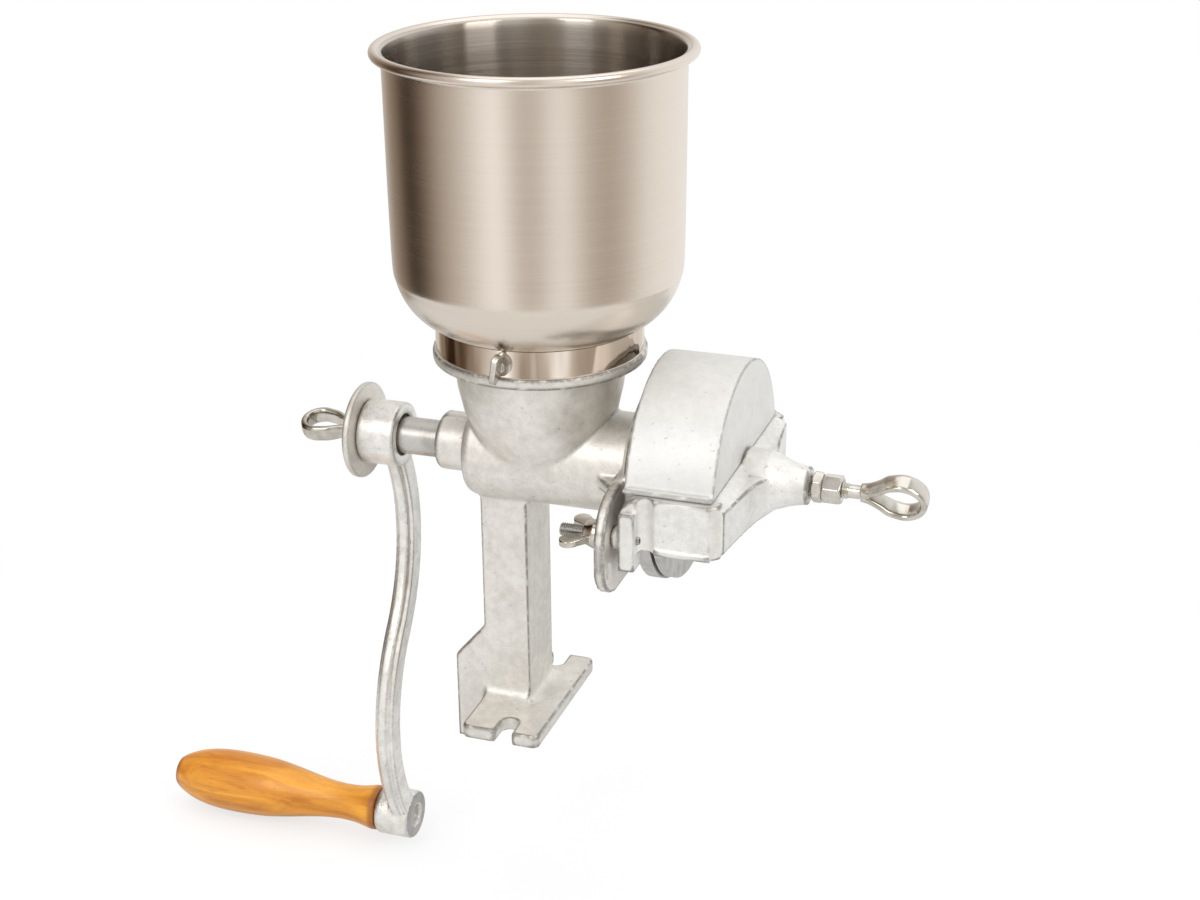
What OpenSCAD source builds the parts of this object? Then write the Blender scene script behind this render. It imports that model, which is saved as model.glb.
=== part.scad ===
// Hand grain mill with a steel hopper, a screw feed, two burr plates and an S shaped crank.
// Millimetres, Z up. The origin is the middle of the underside of the foot.
// X runs along the barrel from the crank towards the adjusting screw.

/* [Foot] */
// Foot plate size across the barrel
foot_length = 87; // [82:1:96]
// Foot plate size along the barrel
foot_width = 41; // [39:0.5:48]
// Foot plate thickness
foot_thickness = 7; // [5:0.5:9]
// Width of the two open bolt slots
slot_width = 8.5; // [6.5:0.5:10.5]
// Depth of the two open bolt slots
slot_depth = 14.5; // [12:0.5:18]
// How far the edge stops hang below the foot
stop_drop = 20; // [8:0.5:24]
// How far the edge stops stand out beside the foot
stop_reach = 15.7; // [9:0.1:18]

/* [Post] */
// Height of the barrel axis above the foot
axis_height = 141.5; // [134:0.5:155]
// Post size along the barrel
post_width = 24.5; // [20:0.5:26]
// Post size across the barrel
post_depth = 33.5; // [30:0.5:34]
// Wall of the channel shaped post
post_wall = 6.5; // [5:0.25:8]

/* [Barrel] */
// Barrel outside radius
barrel_radius = 24.7; // [24:0.1:26]
// Barrel wall
barrel_wall = 4.2; // [3.2:0.1:4.8]
// Radius of the rear bearing boss
bearing_radius = 14.3; // [12.5:0.1:16.5]
// Length of the rear bearing boss
bearing_length = 17.5; // [12:0.5:20]
// Shaft radius
shaft_radius = 9.3; // [8.5:0.1:9.8]
// Radial running clearance of turning parts
running_clearance = 0.05; // [0.02:0.01:0.08]
// Radial gap between the feed flight and the barrel
flight_gap = 0.7; // [0.5:0.1:1.2]
// Thickness of the feed flight
flight_thickness = 4.5; // [3:0.25:6]

/* [Hopper] */
// Outside radius of the rolled rim
rim_radius = 75; // [71:0.5:82]
// Radius of the rim bead
bead_radius = 2.35; // [1.8:0.05:3]
// Height of the bowl above the seat of the collar
bowl_height = 141; // [120:1:170]
// Sheet thickness of the bowl
bowl_sheet = 1.2; // [0.8:0.1:1.6]
// Outside radius of the collar
collar_radius = 49.8; // [48.5:0.1:51]
// Sheet thickness of the collar
collar_sheet = 1.3; // [1:0.1:1.6]
// Height of the collar
collar_height = 13; // [11.5:0.25:16]
// Gap between the collar and the spigot it drops over
collar_gap = 0.4; // [0.35:0.05:0.7]
// Height of the spigot
spigot_height = 9; // [7:0.25:10]
// Radius of the hopper screw
hopper_screw_radius = 3; // [2.5:0.1:3.2]
// Height of the flat head of the hopper screw
paddle_height = 14.5; // [11:0.5:16]
// Depth of the flat head of the hopper screw
paddle_depth = 9; // [7:0.25:12]

/* [Burrs] */
// Radius of the fixed burr plate
fixed_burr_radius = 52.5; // [50:0.1:52.7]
// Radius of the turning burr plate
burr_radius = 51.5; // [49:0.1:51.8]
// Thickness of the fixed burr plate
fixed_burr_thickness = 6.7; // [6:0.1:7.5]
// Thickness of the turning burr plate
turning_burr_thickness = 4.3; // [3.8:0.1:5]
// Gap between the burr plates as drawn
burr_gap = 1.2; // [1.1:0.05:1.6]
// Depth of the grinding grooves
groove_depth = 1.6; // [0.8:0.1:2.2]
// Width of the grinding grooves
groove_width = 3; // [2:0.1:3.6]
// Number of grinding grooves on each plate
groove_count = 24; // [18:1:28]
// Radius of the burr screws
burr_screw_radius = 2.5; // [2:0.1:3]
// Radius of the drive pin
drive_pin_radius = 3; // [2.5:0.1:3.5]

/* [Yoke and cover] */
// Thickness of the two yoke legs
leg_thickness = 8.5; // [7:0.25:10]
// Height of the yoke legs
leg_height = 26.5; // [22:0.5:30]
// Thickness of the yoke bridge
bridge_thickness = 13; // [11:0.5:15]
// Outside radius of the arched cover
cover_radius = 57; // [56.2:0.1:58]
// Wall of the cover
cover_wall = 3; // [2.2:0.1:3.2]
// Radius of the end of the nose
nose_radius = 9.1; // [8:0.1:10.5]
// Length of the nose
nose_length = 26.7; // [22:0.5:32]
// Radius of the two yoke studs
stud_radius = 3.2; // [2.8:0.1:3.6]
// How far the studs stand out behind the wing nuts
stud_reach = 13.5; // [9:0.5:16]
// Reach of the wings of the wing nuts from their axis
wing_reach = 14.5; // [12.5:0.25:16]

/* [Adjusting screw] */
// Thread radius of the adjusting screw
adjuster_radius = 4; // [3:0.1:4.5]
// Lock nut size across flats
nut_flats = 13; // [11:0.5:15]
// Inner lock nut thickness
inner_nut_thickness = 5; // [4:0.25:6]
// Outer lock nut thickness
outer_nut_thickness = 9; // [6:0.25:10]
// Gap between the nose and the inner lock nut
nut_gap = 1.3; // [1.2:0.05:2]
// Length of the finger loop
adjuster_loop_length = 31; // [26:0.5:36]
// Width of the finger loop
adjuster_loop_width = 24; // [20:0.5:28]
// Width of the band of the finger loop
adjuster_band_width = 9.5; // [8:0.25:11]
// Radius of the thrust ball
ball_radius = 6; // [4.5:0.1:7]

/* [Crank] */
// Distance between the two crank hubs
crank_throw = 223.5; // [200:0.5:245]
// Radius of the upper hub
hub_radius = 16.3; // [15:0.1:18]
// Radius of the lower hub
end_hub_radius = 13; // [11.5:0.1:14.5]
// Width of the arm
arm_width = 15; // [11:0.25:16]
// Thickness of the arm
arm_thickness = 10.5; // [7:0.25:11]
// Swing of the S curve to each side
arm_swing = 19; // [10:0.5:21]
// Radius of the handle pin
handle_pin_radius = 5.4; // [4.5:0.1:6]
// Largest radius of the grip
grip_radius = 16.8; // [15:0.1:18.5]
// Length of the grip
grip_length = 122.5; // [108:0.5:135]
// Crank washer radius
crank_washer_radius = 24.2; // [20:0.1:27]
// Crank washer thickness
crank_washer_thickness = 3.8; // [2.5:0.1:5]
// Radius of the crank thumb screw
screw_radius = 4; // [3.4:0.1:4.2]
// Length of the thumb screw loop
thumb_loop_length = 30.5; // [24:0.5:34]
// Width of the thumb screw loop
thumb_loop_width = 20; // [18:0.5:24]
// Thickness of the band of both loops
loop_band = 3.6; // [2.8:0.1:4.2]
// Width of the band of the thumb screw loop
loop_band_width = 8; // [6:0.25:9]

/* [Hidden] */
$fn = 96;
// Gap kept between parts that pass each other
free_gap = 0.3;
// Radial clearance of plain holes around screws
hole_clearance = 0.5;
// Middle of the hopper along the barrel
hopper_x = 9.5;
slot_x = 2;
foot_corner = 4;
post_front = 4.3;
post_near = -10;
post_far = post_near + post_depth;
root_radius = 8;
side_root = 4;
post_back = post_front - post_width;
stop_x = -foot_width / 2 - stop_reach;
stop_top = 27.4;
stop_slope = 1.17;
far_stop_top = stop_top - 4;
barrel_bore = barrel_radius - barrel_wall;
barrel_back = -25;
barrel_back_wall = 5;
flange_x = 61;
flange_thickness = 5;
flange_radius = 46;
flange_back_radius = flange_radius - 12;
flange_top = 11.5;
flange_face = flange_x + flange_thickness;
pad_length = 7;
pad_face = flange_face + pad_length;
ear_y = 54.5;
ear_z = -20.5;
ear_radius = 19.5;
screw_y = 58.8;
screw_z = -11;
seat_z = 56.5;
lip_height = 5.5;
lip_radius = collar_radius + 1.6;
spigot_radius = collar_radius - collar_sheet - collar_gap;
spigot_bore = spigot_radius - 4.4;
funnel_wall = 5;
fixed_burr_face = pad_face + fixed_burr_thickness;
turning_burr_face = fixed_burr_face + burr_gap;
turning_burr_back = turning_burr_face + turning_burr_thickness;
fixed_burr_bore = barrel_bore + 0.6;
burr_head_radius = burr_screw_radius * 1.56;
burr_screw_circle = fixed_burr_bore + burr_head_radius + 1.5;
groove_skew = 8;
groove_start = burr_screw_circle + burr_head_radius + 1.5;
groove_end = burr_radius - 4;
burr_boss_radius = 17;
burr_boss_length = 11;
drive_pin_x = turning_burr_back + 6;
sleeve_radius = shaft_radius + 3.2;
sleeve_start = barrel_back + barrel_back_wall + 1;
sleeve_end = turning_burr_face - 0.5;
flight_radius = barrel_bore - flight_gap;
flight_start = sleeve_start + 1;
flight_end = pad_face - 1;
flight_turns = 2.5;
yoke_top = 10.5;
yoke_bottom = yoke_top - leg_height;
leg_inside = 53.8;
leg_outside = leg_inside + leg_thickness;
bridge_x = 104;
bridge_face = bridge_x + bridge_thickness;
nose_end = bridge_face + nose_length;
lug_start = flange_face + 4;
lug_end = flange_face + 11.7;
lug_boss_radius = stud_radius + 2.4;
scoop_radius = 5;
lug_inside = fixed_burr_radius + 0.8;
lug_outside = screw_y + stud_radius + 4;
lug_top = 3.5;
lug_bottom = -25;
leg_corner = 9;
bridge_corner = 5;
bridge_cut = bridge_corner * sqrt(2);
cover_start = flange_face + 4;
cover_end = bridge_face - 5;
shaft_end = bridge_x + 5.7;
ball_x = shaft_end + free_gap + ball_radius;
adjuster_tip = ball_x + ball_radius + free_gap;
yoke_bore_end = adjuster_tip + 1;
inner_nut_x = nose_end + nut_gap;
outer_nut_x = inner_nut_x + inner_nut_thickness;
thread_end = outer_nut_x + outer_nut_thickness + 3;
loop_x = thread_end + 6.5;
shaft_start = -80;
hub_face = -63.5;
hub_back = -83.7;
hub_chamfer = 0.8;
hub_recess = 4;
shaft_flat = shaft_radius * 0.78;
arm_x = -73;
arm_bevel = 2.4;
arm_swell = 0.15;
end_hub_face = -67.5;
end_hub_back = -88;
grip_start = end_hub_back - 0.5;
grip_end = grip_start - grip_length;
grip_recess = 8;
grip_recess_radius = 7.6;
washer_face = hub_back - crank_washer_thickness;
loop_collar = 2.5;
loop_collar_radius = screw_radius + 3;
loop_neck = 3.2;
wing_washer_thickness = 1.5;
wing_washer_radius = stud_radius + 6.3;
wing_collar = 5.5;
wing_collar_radius = stud_radius + 3.8;
wing_lobe = wing_reach * 0.29;
wing_neck = wing_reach * 0.45;
wing_plate = 3.2;
stud_back = flange_x - wing_washer_thickness - wing_collar - stud_reach;
stud_front = lug_end + 1;
bowl_z = seat_z + collar_height;
rim_z = seat_z + bowl_height;
nut_plate = 2.2;
paddle_thickness = 2.8;
paddle_corner = paddle_height / 4;
paddle_lean = 10;
hopper_screw_z = seat_z + 6.6;

module at_axis() {
    translate([0, 0, axis_height])
        children();
}

module x_cyl(r, x0, x1) {
    translate([x0, 0, 0])
        rotate([0, 90, 0])
            cylinder(r = r, h = x1 - x0);
}

module x_turned(profile) {
    rotate([0, 90, 0])
        rotate_extrude()
            polygon([for (p = profile) [p[1], p[0]]]);
}

module x_plate(x0, x1) {
    translate([x0, 0, 0])
        rotate([90, 0, 90])
            linear_extrude(height = x1 - x0)
                children();
}

module box(x0, x1, y0, y1, z0, z1) {
    translate([x0, y0, z0])
        cube([x1 - x0, y1 - y0, z1 - z0]);
}

module both_sides() {
    children();
    mirror([0, 1, 0])
        children();
}

module foot_outline() {
    half_x = foot_width / 2;
    half_y = foot_length / 2;
    difference() {
        union() {
            square([foot_width - 2 * foot_corner, foot_length], center = true);
            square([foot_width, foot_length - 2 * foot_corner], center = true);
            for (sx = [-1, 1], sy = [-1, 1])
                translate([sx * (half_x - foot_corner), sy * (half_y - foot_corner)])
                    circle(r = foot_corner);
        }
        for (sy = [-1, 1]) {
            translate([slot_x, sy * (half_y - slot_depth + slot_width / 2)])
                circle(d = slot_width);
            translate([slot_x, sy * (half_y - slot_depth / 2 + slot_width / 4 + 1)])
                square([slot_width, slot_depth - slot_width / 2 + 2], center = true);
        }
    }
}

module post_plate(y0, top) {
    translate([0, y0 + post_wall, 0])
        rotate([90, 0, 0])
            linear_extrude(height = post_wall)
                polygon([
                    [post_front, 0],
                    [post_front, axis_height],
                    [post_back, axis_height],
                    [post_back, top + (post_back - stop_x) * stop_slope],
                    [stop_x, top],
                    [stop_x, -stop_drop],
                    [-foot_width / 2, -stop_drop],
                    [-foot_width / 2, 0]
                ]);
}

module post_root() {
    difference() {
        box(post_back, post_front, post_near - root_radius, post_near + 1,
            foot_thickness - 1, foot_thickness + root_radius);
        translate([0, post_near - root_radius, foot_thickness + root_radius])
            x_cyl(root_radius, post_back - 1, post_front + 1);
    }
    difference() {
        box(post_front - 1, post_front + side_root, post_near, post_far,
            foot_thickness - 1, foot_thickness + side_root);
        translate([post_front + side_root, post_far + 1, foot_thickness + side_root])
            rotate([90, 0, 0])
                cylinder(r = side_root, h = post_depth + 2);
    }
}

module funnel_outside() {
    translate([hopper_x, 0, 0])
        rotate_extrude()
            polygon([
                [0, -8],
                [20, -8],
                [24.4, -2],
                [27.6, 4.5],
                [31.8, 12],
                [37.3, 24],
                [40.2, 37],
                [41.4, seat_z - lip_height - 1],
                [lip_radius - 0.8, seat_z - lip_height],
                [lip_radius, seat_z - lip_height + 0.8],
                [lip_radius, seat_z],
                [spigot_radius, seat_z],
                [spigot_radius, seat_z + spigot_height],
                [0, seat_z + spigot_height]
            ]);
}

module funnel_inside() {
    translate([hopper_x, 0, 0])
        rotate_extrude()
            polygon([
                [0, 0],
                [17, 0],
                [21.5, 4.5],
                [26.5, 12],
                [37.3 - funnel_wall, 24],
                [40.2 - funnel_wall, 37],
                [41.4 - funnel_wall, seat_z - lip_height - 4],
                [spigot_bore, seat_z],
                [spigot_bore, seat_z + spigot_height + 1],
                [0, seat_z + spigot_height + 1]
            ]);
}

module flange_outline() {
    intersection() {
        circle(r = flange_radius);
        translate([-flange_radius, flange_top - 2 * flange_radius])
            square(2 * flange_radius);
    }
    for (s = [-1, 1]) {
        translate([s * ear_y, ear_z])
            circle(r = ear_radius);
        polygon([
            [s * (ear_y + ear_radius), ear_z],
            [s * (ear_y + ear_radius - 0.2), -11],
            [s * (ear_y + ear_radius - 1.6), -4.5],
            [s * (ear_y + ear_radius - 4.4), 1],
            [s * (ear_y + ear_radius - 8.6), 5.4],
            [s * (ear_y + ear_radius - 13.6), 8.2],
            [s * ear_y, 9.6],
            [s * 38, 11.2],
            [0, flange_top],
            [0, -flange_radius + 4],
            [s * 22, -flange_radius + 6],
            [s * ear_y, ear_z - ear_radius]
        ]);
    }
}

module burr_screw_places() {
    for (a = [90, 210, 330])
        rotate([a, 0, 0])
            translate([0, burr_screw_circle, 0])
                children();
}

module mill_body() {
    color("#b9b6ae")
        difference() {
            union() {
                linear_extrude(height = foot_thickness)
                    foot_outline();
                post_plate(post_near, stop_top);
                post_plate(post_far - post_wall, far_stop_top);
                box(post_front - post_wall, post_front, post_near, post_far, 0, axis_height);
                post_root();
                at_axis() {
                    x_turned([
                        [barrel_back - 0.2, 0],
                        [barrel_back - 0.2, barrel_radius - 4],
                        [barrel_back + 1.2, barrel_radius - 1.2],
                        [barrel_back + 4, barrel_radius],
                        [flange_x + 1, barrel_radius],
                        [flange_x + 1, 0]
                    ]);
                    x_turned([
                        [barrel_back + 1, 0],
                        [barrel_back + 1, bearing_radius],
                        [barrel_back - bearing_length + 1.2, bearing_radius],
                        [barrel_back - bearing_length, bearing_radius - 1.2],
                        [barrel_back - bearing_length, 0]
                    ]);
                    box(barrel_back - bearing_length + 2, barrel_back + 1, -4, 4, 0, bearing_radius + 0.8);
                    funnel_outside();
                    x_plate(flange_x, flange_face)
                        flange_outline();
                    x_turned([
                        [flange_x, 0],
                        [flange_x, flange_back_radius],
                        [flange_face, flange_radius],
                        [pad_face, flange_radius],
                        [pad_face, 0]
                    ]);
                    both_sides()
                        translate([0, 0, -4])
                            linear_extrude(height = 6)
                                polygon([
                                    [flange_x - 17, -barrel_radius + 3],
                                    [flange_x + 1, -barrel_radius + 3],
                                    [flange_x + 1, -barrel_radius - 15],
                                    [flange_x - 1, -barrel_radius - 15]
                                ]);
                }
            }
            at_axis() {
                x_cyl(barrel_bore, barrel_back + barrel_back_wall, pad_face + 1);
                x_cyl(shaft_radius + running_clearance, barrel_back - bearing_length - 1, 0);
                funnel_inside();
                for (s = [-1, 1])
                    translate([0, s * screw_y, screw_z])
                        x_cyl(stud_radius + hole_clearance, flange_x - 1, flange_face + 1);
                burr_screw_places()
                    x_cyl(burr_screw_radius + running_clearance, flange_x + 0.4, pad_face + 1);
                both_sides()
                    translate([0, -ear_y - 11.5, ear_z - 5])
                        x_cyl(3.6, flange_face - 1.2, flange_face + 1);
            }
        }
}

module grooves(x0, x1) {
    for (i = [0 : groove_count - 1])
        rotate([i * 360 / groove_count + 4, 0, 0])
            box(x0, x1, groove_start, groove_end,
                groove_skew - groove_width / 2, groove_skew + groove_width / 2);
}

module fixed_burr() {
    color("#8f8c86")
        at_axis()
            difference() {
                x_cyl(fixed_burr_radius, pad_face, fixed_burr_face);
                x_cyl(fixed_burr_bore, pad_face - 1, fixed_burr_face + 1);
                grooves(fixed_burr_face - groove_depth, fixed_burr_face + 1);
                burr_screw_places() {
                    x_cyl(burr_screw_radius + running_clearance, pad_face - 1, fixed_burr_face + 1);
                    x_cyl(burr_head_radius + 0.1, fixed_burr_face - 4, fixed_burr_face + 1);
                }
            }
}

module burr_screws() {
    color("#a9a7a2")
        at_axis()
            burr_screw_places() {
                x_cyl(burr_screw_radius, flange_x + 0.6, fixed_burr_face - 3);
                difference() {
                    x_cyl(burr_head_radius, fixed_burr_face - 4, fixed_burr_face - 1.9);
                    box(fixed_burr_face - 2.6, fixed_burr_face, -8, 8, -0.6, 0.6);
                }
            }
}

module leg_outline() {
    difference() {
        translate([lug_start, yoke_bottom])
            square([bridge_face - 1 - lug_start, leg_height]);
        difference() {
            translate([lug_start - 1, yoke_top - leg_corner])
                square(leg_corner + 1);
            translate([lug_start + leg_corner, yoke_top - leg_corner])
                circle(r = leg_corner);
        }
    }
}

module yoke_side() {
    difference() {
        union() {
            translate([0, -leg_inside, 0])
                rotate([90, 0, 0])
                    linear_extrude(height = leg_thickness)
                        leg_outline();
            box(lug_end, bridge_face - 4, -leg_outside - 1.2, -leg_inside, yoke_bottom, yoke_bottom + 2.6);
        }
        translate([lug_end + scoop_radius - 1, -leg_outside - scoop_radius + 2.2, yoke_bottom - 1])
            cylinder(r = scoop_radius, h = leg_height + 2);
    }
    box(lug_start, lug_end, -lug_outside, -lug_inside, lug_bottom, lug_top);
    translate([0, -screw_y, screw_z])
        x_cyl(lug_boss_radius, flange_face, lug_start + 1);
}

module yoke() {
    color("#b9b6ae")
        at_axis()
            difference() {
                union() {
                    both_sides()
                        yoke_side();
                    translate([0, leg_outside, 0])
                        rotate([90, 0, 0])
                            linear_extrude(height = 2 * leg_outside)
                                polygon([
                                    [bridge_x, yoke_bottom + 1],
                                    [bridge_face - 1, yoke_bottom + 1],
                                    [bridge_face, yoke_bottom + 3],
                                    [bridge_face, yoke_top - 3],
                                    [bridge_face - 4.5, yoke_top],
                                    [bridge_x, yoke_top]
                                ]);
                    intersection() {
                        x_turned([
                            [bridge_face - 1, 0],
                            [bridge_face - 1, leg_outside - 1],
                            [bridge_face + 0.5, leg_outside - 3],
                            [bridge_face + nose_length * 0.075, leg_outside - 16],
                            [bridge_face + nose_length * 0.135, leg_outside - 28],
                            [bridge_face + nose_length * 0.22, 22],
                            [bridge_face + nose_length * 0.33, 15.6],
                            [bridge_face + nose_length * 0.4, 13],
                            [bridge_face + nose_length * 0.4, 0]
                        ]);
                        box(bridge_face - 2, nose_end, -70, 70, yoke_bottom + 2, yoke_top - 3.5);
                    }
                    x_turned([
                        [bridge_x, 0],
                        [bridge_x, 15.5],
                        [bridge_face + nose_length * 0.26, 15],
                        [bridge_face + nose_length * 0.42, 13.2],
                        [bridge_face + nose_length * 0.56, 11.8],
                        [bridge_face + nose_length * 0.71, nose_radius + 1.3],
                        [bridge_face + nose_length * 0.86, nose_radius + 0.4],
                        [nose_end, nose_radius],
                        [nose_end, 0]
                    ]);
                }
                x_cyl(shaft_radius + running_clearance, bridge_x - 1, yoke_bore_end);
                x_cyl(adjuster_radius + running_clearance, yoke_bore_end - 1, nose_end + 1);
                box(bridge_x - 1, bridge_face - 4.5, -40, 40, yoke_top, 40);
                both_sides()
                    translate([bridge_face, -leg_outside, (yoke_top + yoke_bottom) / 2])
                        rotate([0, 0, 45])
                            cube([bridge_cut, bridge_cut, leg_height + 2], center = true);
                for (s = [-1, 1])
                    translate([0, s * screw_y, screw_z])
                        x_cyl(stud_radius + running_clearance, flange_face - 1, lug_end + 1);
            }
}

module burr_cover() {
    color("#c2bfb8")
        at_axis()
            difference() {
                union() {
                    x_plate(cover_start, cover_end)
                        difference() {
                            circle(r = cover_radius);
                            circle(r = cover_radius - cover_wall);
                        }
                    x_cyl(cover_radius - 1, cover_end - cover_wall, cover_end);
                    both_sides()
                        box(cover_start, cover_end, -leg_inside - 5, -leg_inside - 1, 0, yoke_top + 2.5);
                }
                box(cover_start - 1, cover_end + 1, -90, 90, -90, yoke_top);
            }
}

module thrust_ball() {
    color("#c9c9c9")
        at_axis()
            translate([ball_x, 0, 0])
                sphere(r = ball_radius);
}

module drive_shaft() {
    color("#a8a49c")
        at_axis()
            difference() {
                x_cyl(shaft_radius, shaft_start, shaft_end);
                box(shaft_start - 1, hub_face - hub_recess, -20, 20, shaft_flat, 20);
                x_cyl(screw_radius + running_clearance, shaft_start - 1, shaft_start + 25);
                translate([drive_pin_x, 0, -20])
                    cylinder(r = drive_pin_radius + running_clearance, h = 40);
            }
}

module feed_auger() {
    color("#98958e")
        at_axis()
            difference() {
                union() {
                    x_cyl(sleeve_radius, sleeve_start, sleeve_end);
                    translate([flight_start, 0, 0])
                        rotate([0, 90, 0])
                            linear_extrude(height = flight_end - flight_start, twist = 360 * flight_turns,
                                slices = 60, $fn = 8)
                                translate([sleeve_radius - 1, -flight_thickness / 2])
                                    square([flight_radius - sleeve_radius + 0.7, flight_thickness]);
                }
                x_cyl(shaft_radius + running_clearance, sleeve_start - 1, sleeve_end + 1);
            }
}

module turning_burr() {
    color("#8f8c86")
        at_axis()
            difference() {
                union() {
                    x_cyl(burr_radius, turning_burr_face, turning_burr_back);
                    x_cyl(burr_boss_radius, turning_burr_back - 1, turning_burr_back + burr_boss_length);
                }
                x_cyl(shaft_radius + running_clearance, turning_burr_face - 1, turning_burr_back + 20);
                grooves(turning_burr_face - 1, turning_burr_face + groove_depth);
                translate([drive_pin_x, 0, -30])
                    cylinder(r = drive_pin_radius + running_clearance, h = 60);
            }
}

module drive_pin() {
    color("#a8a8a8")
        at_axis()
            translate([drive_pin_x, 0, -burr_boss_radius + 0.5])
                cylinder(r = drive_pin_radius, h = 2 * burr_boss_radius - 1);
}

module arm_curve(width) {
    half = crank_throw / 4;
    bend = (half * half + arm_swing * arm_swing) / (2 * arm_swing);
    intersection() {
        translate([arm_swing - bend, -half])
            difference() {
                circle(r = bend + width / 2);
                circle(r = bend - width / 2);
            }
        translate([-width, -2 * half])
            square([arm_swing + 3 * width, 2 * half]);
    }
}

module arm_outline(width) {
    arm_curve(width);
    translate([0, -crank_throw])
        rotate(180)
            arm_curve(width);
    translate([0, -crank_throw / 2])
        circle(r = width / 2 + arm_swell);
}

module crank_arm() {
    color("#b9b6ae")
        at_axis()
            difference() {
                union() {
                    x_turned([
                        [hub_face, 0],
                        [hub_face, hub_radius - 0.8],
                        [hub_face - 0.8, hub_radius],
                        [hub_back + hub_chamfer, hub_radius],
                        [hub_back, hub_radius - hub_chamfer],
                        [hub_back, 0]
                    ]);
                    translate([0, 0, -crank_throw])
                        x_turned([
                            [end_hub_face, 0],
                            [end_hub_face, end_hub_radius - 0.8],
                            [end_hub_face - 0.8, end_hub_radius],
                            [end_hub_back + 1.5, end_hub_radius],
                            [end_hub_back, end_hub_radius - 1.5],
                            [end_hub_back, 0]
                        ]);
                    x_plate(arm_x - arm_thickness / 2 + arm_bevel, arm_x + arm_thickness / 2 - arm_bevel)
                        arm_outline(arm_width);
                    x_plate(arm_x - arm_thickness / 2, arm_x + arm_thickness / 2)
                        arm_outline(arm_width - 2 * arm_bevel);
                }
                difference() {
                    x_cyl(shaft_radius + running_clearance, hub_back - 1, hub_face + 1);
                    box(hub_back - 2, hub_face - hub_recess, -20, 20, shaft_flat + running_clearance, 20);
                }
                x_cyl(shaft_radius + 1.2, hub_face - hub_recess, hub_face + 1);
                translate([0, 0, -crank_throw])
                    x_cyl(handle_pin_radius + running_clearance, end_hub_back - 1, end_hub_face + 1);
            }
}

module at_handle() {
    translate([0, 0, axis_height - crank_throw])
        children();
}

module handle_pin() {
    color("#a8a8a8")
        at_handle() {
            x_cyl(handle_pin_radius, grip_end + 6, end_hub_face - 2.2);
            x_cyl(grip_recess_radius - 1.2, grip_end + 2.6, grip_end + 6.2);
        }
}

module handle_washer() {
    color("#a8a8a8")
        at_handle()
            difference() {
                x_cyl(grip_recess_radius - 0.5, grip_end + 6.2, grip_end + grip_recess - free_gap);
                x_cyl(handle_pin_radius + running_clearance, grip_end + 6, grip_end + grip_recess + 1);
            }
}

module handle_grip() {
    color("#b5651d")
        at_handle()
            difference() {
                x_turned([
                    [grip_start, 0],
                    [grip_start, grip_radius * 0.68],
                    [grip_start - 1, grip_radius * 0.715],
                    [grip_start - grip_length * 0.03, grip_radius * 0.715],
                    [grip_start - grip_length * 0.06, grip_radius * 0.67],
                    [grip_start - grip_length * 0.1, grip_radius * 0.61],
                    [grip_start - grip_length * 0.15, grip_radius * 0.58],
                    [grip_start - grip_length * 0.2, grip_radius * 0.58],
                    [grip_start - grip_length * 0.27, grip_radius * 0.625],
                    [grip_start - grip_length * 0.35, grip_radius * 0.72],
                    [grip_start - grip_length * 0.44, grip_radius * 0.84],
                    [grip_start - grip_length * 0.53, grip_radius * 0.94],
                    [grip_start - grip_length * 0.61, grip_radius * 0.985],
                    [grip_start - grip_length * 0.69, grip_radius],
                    [grip_start - grip_length * 0.77, grip_radius * 0.985],
                    [grip_start - grip_length * 0.84, grip_radius * 0.94],
                    [grip_start - grip_length * 0.9, grip_radius * 0.86],
                    [grip_start - grip_length * 0.95, grip_radius * 0.75],
                    [grip_start - grip_length * 0.98, grip_radius * 0.65],
                    [grip_end, grip_radius * 0.55],
                    [grip_end, 0]
                ]);
                x_cyl(handle_pin_radius + running_clearance, grip_end - 1, grip_start + 1);
                x_cyl(grip_recess_radius, grip_end - 1, grip_end + grip_recess);
            }
}

module crank_washer() {
    color("#b9b9b6")
        at_axis()
            difference() {
                x_turned([
                    [hub_back, 0],
                    [hub_back, crank_washer_radius - 0.5],
                    [hub_back - 0.5, crank_washer_radius],
                    [washer_face + 1, crank_washer_radius],
                    [washer_face, crank_washer_radius - 1],
                    [washer_face, 0]
                ]);
                x_cyl(screw_radius + hole_clearance, washer_face - 1, hub_back + 1);
            }
}

module band_loop(length, width, neck, band_width) {
    bend = width / 2;
    middle = length - bend;
    translate([0, band_width / 2, 0])
        rotate([90, 0, 0])
            linear_extrude(height = band_width)
                difference() {
                    union() {
                        translate([middle, 0])
                            circle(r = bend);
                        polygon([
                            [0, neck],
                            [middle * 0.5, bend * 0.72],
                            [middle - bend * 0.4, bend * 0.917],
                            [middle - bend * 0.4, -bend * 0.917],
                            [middle * 0.5, -bend * 0.72],
                            [0, -neck]
                        ]);
                    }
                    translate([middle, 0])
                        circle(r = bend - loop_band);
                    polygon([
                        [length * 0.26, 1],
                        [middle * 0.6, bend * 0.72 - loop_band],
                        [middle, bend - loop_band],
                        [middle, -bend + loop_band],
                        [middle * 0.6, -bend * 0.72 + loop_band],
                        [length * 0.26, -1]
                    ]);
                }
}

module crank_thumb_screw() {
    color("#c4c2bc")
        at_axis() {
            x_cyl(screw_radius, washer_face - loop_collar, shaft_start + 20);
            x_cyl(loop_collar_radius, washer_face - loop_collar, washer_face);
            rotate([-76, 0, 0])
                translate([washer_face - loop_collar + 0.5, 0, 0])
                    mirror([1, 0, 0])
                        band_loop(thumb_loop_length, thumb_loop_width, loop_neck, loop_band_width);
        }
}

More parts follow.
